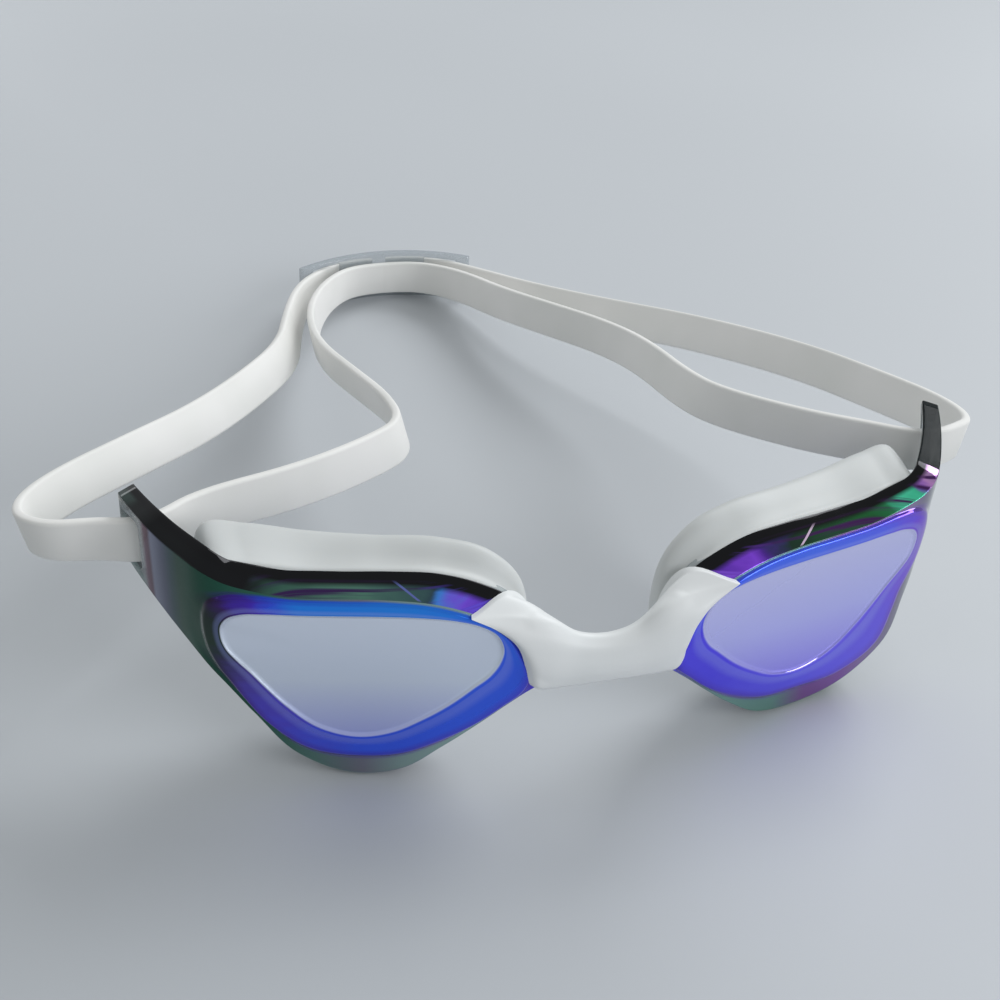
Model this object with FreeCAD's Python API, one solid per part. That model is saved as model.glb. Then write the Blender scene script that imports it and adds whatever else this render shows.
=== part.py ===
import FreeCAD, Part

import math
import os

from FreeCAD import Vector

# Racing swim goggles, in millimetres, +Z up, standing as they are put down on a table: on the
# lower edges of the two lens bodies and on the rear clip of the strap. The front faces -Y.
# Everything is laid out about the nose plane x = 0 and the table z = 0, and write_parts() then
# moves it so that the origin is the middle of the bottom of the bounding box.

# --- driving dimensions -----------------------------------------------------------------------
FACE_YAW = 12.6          # each window looks this far outward, degrees
FACE_X = 37.0            # middle of a window, from the nose plane
FACE_Y = 1.0             # depth of that middle
LENS_WALL = 1.9          # wall of the polycarbonate lens body
SHOULDER_DEPTH = 0.8     # window to front edge of the body
RIM_DEPTH = 6.0          # window to the rear rim, where the gasket is bonded
GASKET_DEPTH = 12.5      # window to the face side of the gasket
GASKET_WALL = 3.2        # gasket wall at the lens
LIP_WALL = 2.2           # gasket lip at the face
WING_WALL = 2.0          # temple wing
STRAP_WIDTH = 8.0        # flat silicone band
STRAP_THICK = 1.6
SLOT_CLEARANCE = 0.6     # round the band in each temple slot
LUG_CLEARANCE = 0.35     # round each nose lug in its pocket
CLIP_THICK = 1.8         # rear clip
CLIP_HEIGHT = 11.8

# height of the band's lower edge: a straight fall from the temples to the table behind
BAND_FRONT_Y = 18.0
BAND_FRONT_Z = 33.6
BAND_FALL = 0.2215       # mm down per mm back

MIDDLE = (0.0, 22.0)     # middle of the lens outlines, across the face and up

# outlines across the face (outward) and up, from the nose corner round over the top
WINDOW = [(-20.9, 27.0), (-17.5, 32.6), (-9.0, 34.5), (3.0, 34.5), (14.0, 34.7), (19.6, 33.6),
          (18.9, 27.8), (14.6, 21.0), (8.8, 13.4), (0.8, 9.6), (-7.0, 12.0), (-14.5, 17.9)]
EDGE = [(-24.8, 24.5), (-19.8, 32.0), (-10.0, 36.9), (3.0, 37.1), (15.0, 38.2), (22.0, 36.5),
        (21.6, 28.0), (17.5, 18.5), (11.0, 9.0), (0.8, 3.6), (-8.5, 7.2), (-18.5, 14.0)]
RIM = [(-26.2, 25.0), (-22.0, 34.5), (-10.5, 38.8), (3.0, 38.9), (15.0, 40.0), (23.5, 38.0),
       (23.3, 28.0), (19.0, 17.5), (12.2, 6.5), (0.8, 0.4), (-9.5, 3.6), (-20.5, 12.0)]
LIP = [(-26.0, 24.0), (-23.0, 33.5), (-11.0, 40.0), (3.0, 40.7), (15.0, 42.0), (24.6, 41.0),
       (25.3, 30.0), (21.0, 17.0), (12.5, 7.0), (0.8, 3.0), (-10.0, 5.2), (-21.0, 12.0)]
RIM_STRAIGHT = 3.0       # depth from which the wall runs straight back to the rim

# temple wing: outer face in plan, and its side view (x, z) above and below
WING_PLAN = [(53.0, 4.6), (58.2, 6.4), (63.8, 13.0), (67.8, 20.0), (70.6, 26.8)]
WING_TOP = [(48.0, 38.6), (55.0, 40.0), (60.0, 42.4), (66.0, 42.4), (72.5, 44.0)]
WING_BOTTOM = [(72.5, 32.4), (68.0, 30.6), (64.0, 27.2), (60.0, 23.4), (56.6, 19.0), (48.0, 14.0)]
SLOT_AT = (68.2, 23.1)   # middle of the strap slot
SLOT_YAW = 66.5          # direction of the wing there, from +X towards +Y
SLOT_LENGTH = 4.8        # along the wing

# band routes in plan: from the front of the rear clip along the inner run, outward through the
# temple slot, back along the outer run, then through the clip's window to a tail behind it
LEFT_ROUTE = [(-2.0, 161.6), (3.4, 161.6), (9.6, 157.6), (15.4, 148.0), (20.3, 131.8),
              (27.7, 115.7), (34.5, 100.8), (38.2, 85.7), (38.6, 63.0), (41.6, 52.0), (51.1, 37.5),
              (58.8, 29.6), (64.0, 23.9), (68.1, 22.9), (73.2, 25.0), (80.0, 26.2),
              (80.2, 38.0), (75.4, 53.0), (68.7, 72.9), (56.2, 96.1), (39.9, 116.2),
              (27.5, 134.0), (20.4, 148.0), (13.6, 160.4), (6.6, 166.8), (-0.2, 167.2)]
RIGHT_ROUTE = [(-2.0, 161.6), (-7.6, 161.6), (-14.0, 156.6), (-20.6, 143.6), (-25.6, 125.0),
               (-26.6, 104.0), (-22.4, 84.0), (-19.0, 68.0), (-19.0, 54.0), (-27.0, 46.0),
               (-40.8, 36.9), (-57.4, 30.8), (-64.0, 23.9), (-68.1, 22.9), (-73.2, 25.1),
               (-81.0, 26.0), (-85.6, 32.5), (-80.4, 44.0), (-66.1, 58.9), (-54.7, 70.6), (-43.6, 87.0),
               (-33.4, 106.0), (-29.4, 128.0), (-24.6, 148.0), (-17.6, 160.4),
               (-10.6, 166.8), (-3.8, 167.2)]
BEND_SHARE = 0.45        # arc tangent, as a share of the shorter run beside it

CLIP_MIDDLE = (-2.0, 163.0)
CLIP_RADIUS = 38.0       # plan curve of the clip, bulging backwards
CLIP_HALF = 20.5         # half its length, along the chord
CLIP_WINDOWS = (-14.2, 14.2)
CLIP_WINDOW_WIDTH = 8.0
CLIP_RAIL = 1.3          # rail under and over each window


# --- shared helpers ---------------------------------------------------------------------------
def face_point(u, depth, z):
    """Point u across the window, depth behind its plane and z above the table, left side."""
    yaw = math.radians(FACE_YAW)
    x = FACE_X + u * math.cos(yaw) - depth * math.sin(yaw)
    y = FACE_Y + u * math.sin(yaw) + depth * math.cos(yaw)
    return Vector(x, y, z)


def inset(outline, amount):
    """The outline drawn in towards its middle."""
    drawn = []
    for u, z in outline:
        du, dz = MIDDLE[0] - u, MIDDLE[1] - z
        share = amount / math.hypot(du, dz)
        drawn.append((u + du * share, z + dz * share))
    return drawn


def ring(outline, depth):
    """A closed smooth wire through the outline at one depth behind the window."""
    curve = Part.BSplineCurve()
    curve.interpolate([face_point(u, depth, z) for u, z in outline], PeriodicFlag=True)
    return Part.Wire([curve.toShape()])


def open_curve(points):
    """A smooth edge through the points."""
    curve = Part.BSplineCurve()
    curve.interpolate(points)
    return curve.toShape()


def polygon(points):
    """A flat face with straight sides."""
    return Part.Face(Part.makePolygon(points + [points[0]]))


def mirrored(shape):
    """The same piece on the other side of the nose."""
    return shape.mirror(Vector(0, 0, 0), Vector(1, 0, 0))


# --- lens body --------------------------------------------------------------------------------
def lens_bowl():
    """Window, shoulder and walls, hollow and open to the rear."""
    outside = Part.makeLoft([ring(WINDOW, 0.0), ring(EDGE, SHOULDER_DEPTH)], True, True)
    outside = outside.fuse(Part.makeLoft([ring(EDGE, SHOULDER_DEPTH), ring(RIM, RIM_STRAIGHT)], True, True))
    outside = outside.fuse(Part.makeLoft([ring(RIM, RIM_STRAIGHT), ring(RIM, RIM_DEPTH)], True, True))
    hollow_front = ring(inset(EDGE, 2.2 * LENS_WALL), LENS_WALL)
    hollow_back = ring(inset(RIM, LENS_WALL), RIM_DEPTH + 0.5)
    return outside.cut(Part.makeLoft([hollow_front, hollow_back], True, True))


def temple_wing():
    """Curved upright strip from the outer wall back to the strap slot and its end post."""
    outer = [Vector(x, y, 0) for x, y in WING_PLAN]
    inner = []
    for i, (x, y) in enumerate(WING_PLAN):
        before = WING_PLAN[max(i - 1, 0)]
        after = WING_PLAN[min(i + 1, len(WING_PLAN) - 1)]
        run_x, run_y = after[0] - before[0], after[1] - before[1]
        share = WING_WALL / math.hypot(run_x, run_y)
        inner.append(Vector(x - run_y * share, y + run_x * share, 0))
    plan = Part.Face(Part.Wire([
        open_curve(outer), Part.makeLine(outer[-1], inner[-1]),
        open_curve(inner[::-1]), Part.makeLine(inner[0], outer[0])]))
    top = [Vector(x, -20, z) for x, z in WING_TOP]
    bottom = [Vector(x, -20, z) for x, z in WING_BOTTOM]
    side = Part.Face(Part.Wire([
        open_curve(top), Part.makeLine(top[-1], bottom[0]),
        open_curve(bottom), Part.makeLine(bottom[-1], top[0])]))
    return plan.extrude(Vector(0, 0, 60)).common(side.extrude(Vector(0, 80, 0)))


def strap_slot():
    """The space cut through the wing for the band."""
    height = STRAP_WIDTH + 2 * SLOT_CLEARANCE
    low = band_height(SLOT_AT[1]) - SLOT_CLEARANCE
    block = Part.makeBox(SLOT_LENGTH, 12, height, Vector(-SLOT_LENGTH / 2, -6, 0))
    block.rotate(Vector(0, 0, 0), Vector(0, 0, 1), SLOT_YAW)
    block.translate(Vector(SLOT_AT[0], SLOT_AT[1], low))
    return block


LUG_X = (7.4, 13.6)      # nose lug, from its tip to inside the bowl's wall
LUG_Y = (-4.3, -2.3)
LUG_Z = (23.6, 30.4)


def nose_lug():
    """Flat tongue that sits in the bridge."""
    low = Vector(LUG_X[0], LUG_Y[0], LUG_Z[0])
    return Part.makeBox(LUG_X[1] - LUG_X[0], LUG_Y[1] - LUG_Y[0], LUG_Z[1] - LUG_Z[0], low)


def lens():
    """Left lens body, in one piece."""
    hollow_front = ring(inset(EDGE, 2.2 * LENS_WALL), LENS_WALL)
    hollow_back = ring(inset(RIM, LENS_WALL), RIM_DEPTH + 9.0)
    body = lens_bowl().fuse([temple_wing().cut(Part.makeLoft([hollow_front, hollow_back], True, True)),
                             nose_lug()])
    return body.cut(strap_slot())


# --- gasket -----------------------------------------------------------------------------------
def gasket():
    """Soft ring from the lens rim to the face."""
    outside = Part.makeLoft([ring(RIM, RIM_DEPTH), ring(LIP, GASKET_DEPTH)], True, True)
    front = ring(inset(RIM, GASKET_WALL), RIM_DEPTH - 0.2)
    back = ring(inset(LIP, LIP_WALL), GASKET_DEPTH + 0.2)
    return outside.cut(Part.makeLoft([front, back], True, True))


# --- nose bridge ------------------------------------------------------------------------------
# half the saddle in sections: x, then low and high y, then low and high z
SADDLE = [(0.0, -6.9, -3.6, 20.6, 29.2), (4.5, -7.0, -3.2, 20.5, 29.8),
          (9.6, -7.0, -1.7, 20.9, 32.6)]
PAD = [(8.8, 21.2), (11.8, 21.4), (13.8, 26.8), (16.4, 31.0), (21.2, 35.4),
       (20.6, 36.5), (15.0, 35.2), (8.8, 32.0)]
PAD_GAP = 0.4            # in front of the lens face
PAD_THICK = 2.2


def section(x, low_y, high_y, low_z, high_z):
    """Upright rectangle across the saddle."""
    return Part.makePolygon([
        Vector(x, low_y, low_z), Vector(x, high_y, low_z),
        Vector(x, high_y, high_z), Vector(x, low_y, high_z), Vector(x, low_y, low_z)])


def bridge_half():
    """Left half of the saddle with the pad in front of the lens and the pocket for its lug."""
    saddle = Part.makeLoft([section(*row) for row in SADDLE], True, True)
    yaw = math.radians(FACE_YAW)
    face = polygon([pad_point(x, z) for x, z in PAD])
    pad = face.extrude(Vector(math.sin(yaw), -math.cos(yaw), 0) * PAD_THICK)
    c = LUG_CLEARANCE
    low = Vector(LUG_X[0] - c, LUG_Y[0] - c, LUG_Z[0] - c)
    pocket = Part.makeBox(12, LUG_Y[1] - LUG_Y[0] + 2 * c, LUG_Z[1] - LUG_Z[0] + 2 * c, low)
    return saddle.fuse(pad).cut(pocket)


def pad_point(x, z):
    """Point of the pad's back, just in front of the lens face."""
    yaw = math.radians(FACE_YAW)
    u = (x - FACE_X - PAD_GAP * math.sin(yaw)) / math.cos(yaw)
    return face_point(u, -PAD_GAP, z)


def nose_bridge():
    """Soft saddle from lens to lens."""
    half = bridge_half()
    return half.fuse(mirrored(half)).removeSplitter()


# --- strap ------------------------------------------------------------------------------------
def band_height(y):
    """Lower edge of the band above the table."""
    return BAND_FRONT_Z - BAND_FALL * (y - BAND_FRONT_Y)


def rounded_path(points):
    """Straight runs joined by tangent arcs, in plan. Each arc's tangent is a share of the shorter run."""
    corners = [Vector(x, y, 0) for x, y in points]
    edges = []
    start = corners[0]
    for before, corner, after in zip(corners, corners[1:], corners[2:]):
        back, on = before - corner, after - corner
        turn = math.pi - back.getAngle(on)
        tangent = BEND_SHARE * min(back.Length, on.Length)
        back.normalize()
        on.normalize()
        enter, leave = corner + back * tangent, corner + on * tangent
        radius = tangent / math.tan(turn / 2)
        half = (back + on).normalize()
        middle = corner + half * (radius / math.cos(turn / 2) - radius)
        edges.append(Part.makeLine(start, enter))
        edges.append(Part.Arc(enter, middle, leave).toShape())
        start = leave
    edges.append(Part.makeLine(start, corners[-1]))
    return Part.Wire(edges)


def strap(route):
    """One half of the band: an upright sweep of its thickness, cut to its falling height."""
    path = rounded_path(route)
    start = path.Edges[0]
    along = start.tangentAt(start.FirstParameter)
    across = Vector(-along.y, along.x, 0) * (STRAP_THICK / 2)
    foot = start.Vertexes[0].Point
    up = Vector(0, 0, 60)
    profile = Part.makePolygon([foot + across, foot - across, foot - across + up,
                                foot + across + up, foot + across])
    upright = path.makePipeShell([profile], True, False)
    front, back = 0.0, 190.0
    slab = polygon([Vector(-120, front, band_height(front)), Vector(-120, back, band_height(back)),
                    Vector(-120, back, band_height(back) + STRAP_WIDTH),
                    Vector(-120, front, band_height(front) + STRAP_WIDTH)])
    return upright.common(slab.extrude(Vector(240, 0, 0)))


# --- rear clip --------------------------------------------------------------------------------
def back_clip():
    """Clear curved plate with an upright window at each end, standing behind the band's crossing."""
    centre = Vector(CLIP_MIDDLE[0], CLIP_MIDDLE[1] - CLIP_RADIUS, 0)
    outer = Part.makeCylinder(CLIP_RADIUS + CLIP_THICK, CLIP_HEIGHT, centre)
    plate = outer.cut(Part.makeCylinder(CLIP_RADIUS, CLIP_HEIGHT, centre))
    keep = Part.makeBox(2 * CLIP_HALF, 30, CLIP_HEIGHT,
                        Vector(CLIP_MIDDLE[0] - CLIP_HALF, CLIP_MIDDLE[1] - 15, 0))
    plate = plate.common(keep)
    for along in CLIP_WINDOWS:
        window = Part.makeBox(CLIP_WINDOW_WIDTH, 30, CLIP_HEIGHT - 2 * CLIP_RAIL,
                              Vector(-CLIP_WINDOW_WIDTH / 2, 20, CLIP_RAIL))
        window.rotate(Vector(0, 0, 0), Vector(0, 0, 1), -math.degrees(math.asin(along / CLIP_RADIUS)))
        window.translate(centre)
        plate = plate.cut(window)
    return plate


# --- all pieces -------------------------------------------------------------------------------
def write_parts():
    """Builds every piece, moves the origin to the bottom middle and writes one STEP each."""
    left_lens = lens()
    left_gasket = gasket()
    pieces = {
        "left_lens": left_lens,
        "right_lens": mirrored(left_lens),
        "left_gasket": left_gasket,
        "right_gasket": mirrored(left_gasket),
        "nose_bridge": nose_bridge(),
        "left_strap": strap(LEFT_ROUTE),
        "right_strap": strap(RIGHT_ROUTE),
        "back_clip": back_clip(),
    }
    box = FreeCAD.BoundBox()
    for shape in pieces.values():
        box.add(shape.optimalBoundingBox(False))
    move = Vector(-(box.XMin + box.XMax) / 2, -(box.YMin + box.YMax) / 2, -box.ZMin)
    os.makedirs("parts", exist_ok=True)
    for name, shape in pieces.items():
        shape.translate(move)
        print(name, "solids", len(shape.Solids), "valid", shape.isValid(), "volume", round(shape.Volume, 1))
        shape.exportStep("parts/" + name + ".step")
    print("origin moved by", [round(v, 3) for v in move], "size", [round(v, 2) for v in (box.XLength, box.YLength, box.ZLength)])


write_parts()
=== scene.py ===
"""Racing swim goggles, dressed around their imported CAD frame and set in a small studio.

The goggles stand as they are put down on a table: on the lower edges of the two lens bodies and on the
clip at the back of the band. Drawing sizes are millimetres about the nose plane and the table, with the
front towards -Y, and Layout moves them into the shared frame, in metres.
"""

import logging
import math
from dataclasses import dataclass
from enum import Enum

import bmesh
import bpy
import numpy as np
from mathutils import Matrix, Vector


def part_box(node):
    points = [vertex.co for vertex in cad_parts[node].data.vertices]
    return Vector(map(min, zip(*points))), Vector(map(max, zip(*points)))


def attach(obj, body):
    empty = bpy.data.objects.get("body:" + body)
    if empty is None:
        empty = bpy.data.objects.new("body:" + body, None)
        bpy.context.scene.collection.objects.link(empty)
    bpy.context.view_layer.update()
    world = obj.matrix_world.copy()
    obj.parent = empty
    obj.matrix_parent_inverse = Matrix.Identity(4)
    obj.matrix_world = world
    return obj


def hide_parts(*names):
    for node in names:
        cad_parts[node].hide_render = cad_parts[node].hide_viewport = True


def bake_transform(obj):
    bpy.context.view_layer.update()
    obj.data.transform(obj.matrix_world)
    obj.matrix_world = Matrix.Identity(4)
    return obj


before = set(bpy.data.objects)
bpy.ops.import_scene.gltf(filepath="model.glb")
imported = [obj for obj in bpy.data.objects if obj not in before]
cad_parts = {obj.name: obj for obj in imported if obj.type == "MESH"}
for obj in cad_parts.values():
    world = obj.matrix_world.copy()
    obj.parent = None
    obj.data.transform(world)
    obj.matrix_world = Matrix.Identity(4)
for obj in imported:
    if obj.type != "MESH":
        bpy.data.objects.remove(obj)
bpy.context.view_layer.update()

LOG = logging.getLogger("goggles")
MM = 0.001
# the rings of a lens body's skin are numbered from the window's front edge, 0, over the raised ring, 2,
# the crease outside it, 4, the wall's rear edge, 5, and the rim, 9, to the edge of the window's back
LAST_RING = 12
# the flat drawing's coordinates are stored with this many millimetres to one
PLACE_MM = 100


# --- placing ----------------------------------------------------------------------------------
class Side(Enum):
    """Side of the nose, as the wearer has it; the value is the sign of x."""

    LEFT = 1
    RIGHT = -1

    @property
    def word(self) -> str:
        """Name of the side, as the CAD nodes and bodies have it."""
        return self.name.lower()


class Turn(Enum):
    """How the shell is laid out: wrapped round to the temple, or straight back from the window."""

    WRAPPED = "wrapped"
    STRAIGHT = "straight"


@dataclass(frozen=True)
class Layout:
    """Where the goggles' own drawing stands in the shared frame, and how a lens body is bent.

    Attributes:
        nose_x: x of the nose plane, in metres.
        drawing_y: y of the drawing's zero, in metres.
        face_yaw: How far each window turns out from the nose plane's normal.
        face_x: x of the window's middle, in millimetres, like the lengths that follow.
        face_y: y of the window's middle.
        wrap_start: How far across the bend to the temple starts.
        wrap_radius: Radius of that bend.
        wrap_turn: Angle of that bend.
        temple_radius: Radius of the temple behind the bend.
        temple_turn: Angle of that curve.
        clip_rear_y: y of the clip's rearmost point.
    """

    nose_x: float
    drawing_y: float
    face_yaw: float = math.radians(12.6)
    face_x: float = 37.0
    face_y: float = 1.0
    wrap_start: float = 19.5
    wrap_radius: float = 9.0
    wrap_turn: float = math.radians(43.4)
    temple_radius: float = 83.0
    temple_turn: float = math.radians(13.8)
    clip_rear_y: float = 164.8

    @classmethod
    def from_frame(cls) -> "Layout":
        """Reads the nose plane and the clip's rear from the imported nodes."""
        middle = (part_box("left_lens")[0].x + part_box("right_lens")[1].x) / 2
        return cls(nose_x=middle, drawing_y=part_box("back_clip")[1].y - cls.clip_rear_y * MM)

    def place(self, points: np.ndarray, side: Side = Side.LEFT) -> np.ndarray:
        """Moves drawing points into the shared frame.

        Args:
            points: Points in millimetres, drawn for the left side.
            side: The side they are wanted on.

        Returns:
            The points in metres.
        """
        scaled = np.asarray(points, float) * MM
        return scaled * (side.value, 1.0, 1.0) + (self.nose_x, self.drawing_y, 0.0)

    def unrolled(self, points: np.ndarray, turn: Turn) -> np.ndarray:
        """Turns (across, up, depth) of a lens body into drawing points.

        Args:
            points: Array whose last axis is across the face, up, and depth behind the window.
            turn: Whether the sheet follows the temple's bend.

        Returns:
            Array of x, y, z in millimetres.
        """
        across, up, depth = points[..., 0], points[..., 1], points[..., 2]
        reach, pitch = 60.0, 0.05
        steps = np.arange(-reach, reach, pitch)
        heading = np.full_like(steps, self.face_yaw)
        if turn is Turn.WRAPPED:
            bend_end = self.wrap_start + self.wrap_radius * self.wrap_turn
            heading += np.clip((steps - self.wrap_start) / self.wrap_radius, 0, self.wrap_turn)
            heading += np.clip((steps - bend_end) / self.temple_radius, 0, self.temple_turn)
        x, y = (np.cumsum(part(heading)) * pitch for part in (np.cos, np.sin))
        x += self.face_x - np.interp(0.0, steps, x)
        y += self.face_y - np.interp(0.0, steps, y)
        here = np.interp(across, steps, heading)
        return np.stack([np.interp(across, steps, x) - depth * np.sin(here),
                         np.interp(across, steps, y) + depth * np.cos(here), up], -1)


# --- mesh helpers -----------------------------------------------------------------------------
def smooth_curve(knots: np.ndarray, spans: int, closed: bool = True, corners: tuple = ()) -> np.ndarray:
    """A smooth curve through the knots.

    Args:
        knots: Points to pass through, one a row.
        spans: Pieces that each stretch between two knots is divided into.
        closed: Whether the last knot joins the first.
        corners: Indices of knots where the curve turns sharply.

    Returns:
        Points along the curve.
    """
    knots = np.asarray(knots, float)
    count = len(knots)
    after, before = np.roll(knots, -1, 0), np.roll(knots, 1, 0)
    if not closed:
        after[-1], before[0] = 2 * knots[-1] - knots[-2], 2 * knots[0] - knots[1]
    run_in, run_out = knots - before, after - knots
    size_in, size_out = (np.linalg.norm(run, axis=1)[:, None] + 1e-9 for run in (run_in, run_out))
    along = run_in / size_in * size_out + run_out / size_out * size_in
    along /= np.linalg.norm(along, axis=1)[:, None] + 1e-9
    leaving, arriving = along.copy(), along.copy()
    for corner in corners:
        leaving[corner] = (run_out / size_out)[corner]
        arriving[corner] = (run_in / size_in)[corner]
    share = np.linspace(0, 1, spans, endpoint=False)[:, None]
    rows = []
    for i in range(count if closed else count - 1):
        j = (i + 1) % count
        length = np.linalg.norm(knots[j] - knots[i])
        rows.append(knots[i] * (2 * share**3 - 3 * share**2 + 1) + knots[j] * (3 * share**2 - 2 * share**3)
                    + leaving[i] * length * (share**3 - 2 * share**2 + share)
                    + arriving[j] * length * (share**3 - share**2))
    if not closed:
        rows.append(knots[-1:])
    return np.concatenate(rows)


def eased(rings: list, soft: dict) -> tuple:
    """Rounds the edges that chosen rings make.

    Args:
        rings: Rings of points, all the same length.
        soft: Radius in millimetres for each ring index that is rounded.

    Returns:
        The rings with three in place of each rounded one, and the old index of each, with fractions.
    """
    made, marks = [], []
    for index, ring in enumerate(rings):
        if index not in soft:
            made.append(ring)
            marks.append(float(index))
            continue
        sides = []
        for other in (rings[index - 1], rings[index + 1]):
            run = other - ring
            length = np.linalg.norm(run, axis=1)[:, None] + 1e-9
            sides.append(ring + run / length * np.minimum(soft[index], 0.45 * length))
        made += [sides[0], (sides[0] + sides[1] + 2 * ring) / 4, sides[1]]
        marks += [index - 0.1, float(index), index + 0.1]
    return made, marks


def grown(outline: np.ndarray, centre: tuple, amount: float) -> np.ndarray:
    """Moves an outline away from its centre.

    Args:
        outline: Points of (across, up).
        centre: The point that it moves away from.
        amount: How far, along the line from the centre. A negative amount draws it in.

    Returns:
        The moved outline.
    """
    away = outline - centre
    return outline + away / np.linalg.norm(away, axis=1)[:, None] * amount


def rounded_oblong(half_a: float, half_b: float, radius: float, steps: int) -> list:
    """A flat oblong with round corners, about its middle.

    Args:
        half_a: Half its first size.
        half_b: Half its second size.
        radius: Radius of its corners.
        steps: Points on each corner.

    Returns:
        Pairs of (a, b).
    """
    ring = []
    for quarter, (a, b) in enumerate(((1, 1), (-1, 1), (-1, -1), (1, -1))):
        for step in range(steps):
            angle = math.radians(90 * (quarter + step / (steps - 1)))
            ring.append((a * (half_a - radius) + radius * math.cos(angle),
                         b * (half_b - radius) + radius * math.sin(angle)))
    return ring


def skin(name: str, rings: list, closed_tube: bool = False) -> bpy.types.Object:
    """A mesh object over a stack of closed rings.

    Args:
        name: Name of the object.
        rings: Rings of points in metres, all the same length.
        closed_tube: Whether the last ring joins the first. If not, the two end rings are filled.

    Returns:
        The linked object, smooth, with outward normals.
    """
    count, width = len(rings), len(rings[0])
    faces = []
    for j in range(count if closed_tube else count - 1):
        k = (j + 1) % count
        for i in range(width):
            n = (i + 1) % width
            faces.append((j * width + i, j * width + n, k * width + n, k * width + i))
    if not closed_tube:
        faces += [tuple(range(width))[::-1], tuple(range((count - 1) * width, count * width))]
    mesh = bpy.data.meshes.new(name)
    mesh.from_pydata(np.concatenate(rings).tolist(), [], faces)
    build = bmesh.new()
    build.from_mesh(mesh)
    bmesh.ops.recalc_face_normals(build, faces=build.faces)
    build.to_mesh(mesh)
    build.free()
    mesh.shade_smooth()
    piece = bpy.data.objects.new(name, mesh)
    bpy.context.scene.collection.objects.link(piece)
    return piece


def settle(piece: bpy.types.Object) -> None:
    """Applies the piece's modifiers to its mesh.

    Args:
        piece: The object to make final.
    """
    evaluated = piece.evaluated_get(bpy.context.evaluated_depsgraph_get())
    piece.data = bpy.data.meshes.new_from_object(evaluated)
    piece.modifiers.clear()


def modify(piece: bpy.types.Object, kind: str, **settings: object) -> None:
    """Adds one modifier to a piece.

    Args:
        piece: The object that gets it.
        kind: Type of the modifier.
        **settings: Its settings, by attribute name.
    """
    modifier = piece.modifiers.new(kind.lower(), kind)
    for key, value in settings.items():
        setattr(modifier, key, value)


# --- finishes ---------------------------------------------------------------------------------
def linear(code: str) -> tuple:
    """Linear RGBA of an sRGB hex colour.

    Args:
        code: Six hex digits after a hash.

    Returns:
        Red, green, blue and an alpha of one.
    """
    parts = [int(code[i:i + 2], 16) / 255 for i in (1, 3, 5)]
    return (*(p / 12.92 if p <= 0.04045 else ((p + 0.055) / 1.055) ** 2.4 for p in parts), 1.0)


def add(tree: bpy.types.NodeTree, kind: str, settings: dict, links: dict) -> bpy.types.Node:
    """Adds a node with its settings and links.

    Args:
        tree: The material's node tree.
        kind: Type of the node.
        settings: Values by attribute name, or by input name or number; "stops" are a ramp's hex colours
            by position, in rising order.
        links: Sockets by input name or number.

    Returns:
        The new node.
    """
    node = tree.nodes.new(kind)
    for key, value in settings.items():
        if key == "stops":
            set_stops(node.color_ramp.elements, value)
        elif isinstance(key, str) and hasattr(node, key):
            setattr(node, key, value)
        else:
            node.inputs[key].default_value = value
    for key, socket in links.items():
        tree.links.new(socket, node.inputs[key])
    return node


def set_stops(elements: bpy.types.ColorRampElements, stops: dict) -> None:
    """Gives a colour ramp its stops.

    Args:
        elements: The ramp's elements.
        stops: Hex colour by position, in rising order.
    """
    while len(elements) > 1:
        elements.remove(elements[-1])
    for index, (position, code) in enumerate(stops.items()):
        element = elements[0] if index == 0 else elements.new(position)
        element.position = position
        element.color = linear(code)


def blank(name: str) -> tuple:
    """A new material with its shader and output.

    Args:
        name: Name of the material.

    Returns:
        The material, its tree and its Principled shader.
    """
    material = bpy.data.materials.new(name)
    material.use_nodes = True
    material.node_tree.nodes.clear()
    shader = add(material.node_tree, "ShaderNodeBsdfPrincipled", {}, {})
    add(material.node_tree, "ShaderNodeOutputMaterial", {}, {0: shader.outputs[0]})
    return material, material.node_tree, shader


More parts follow.
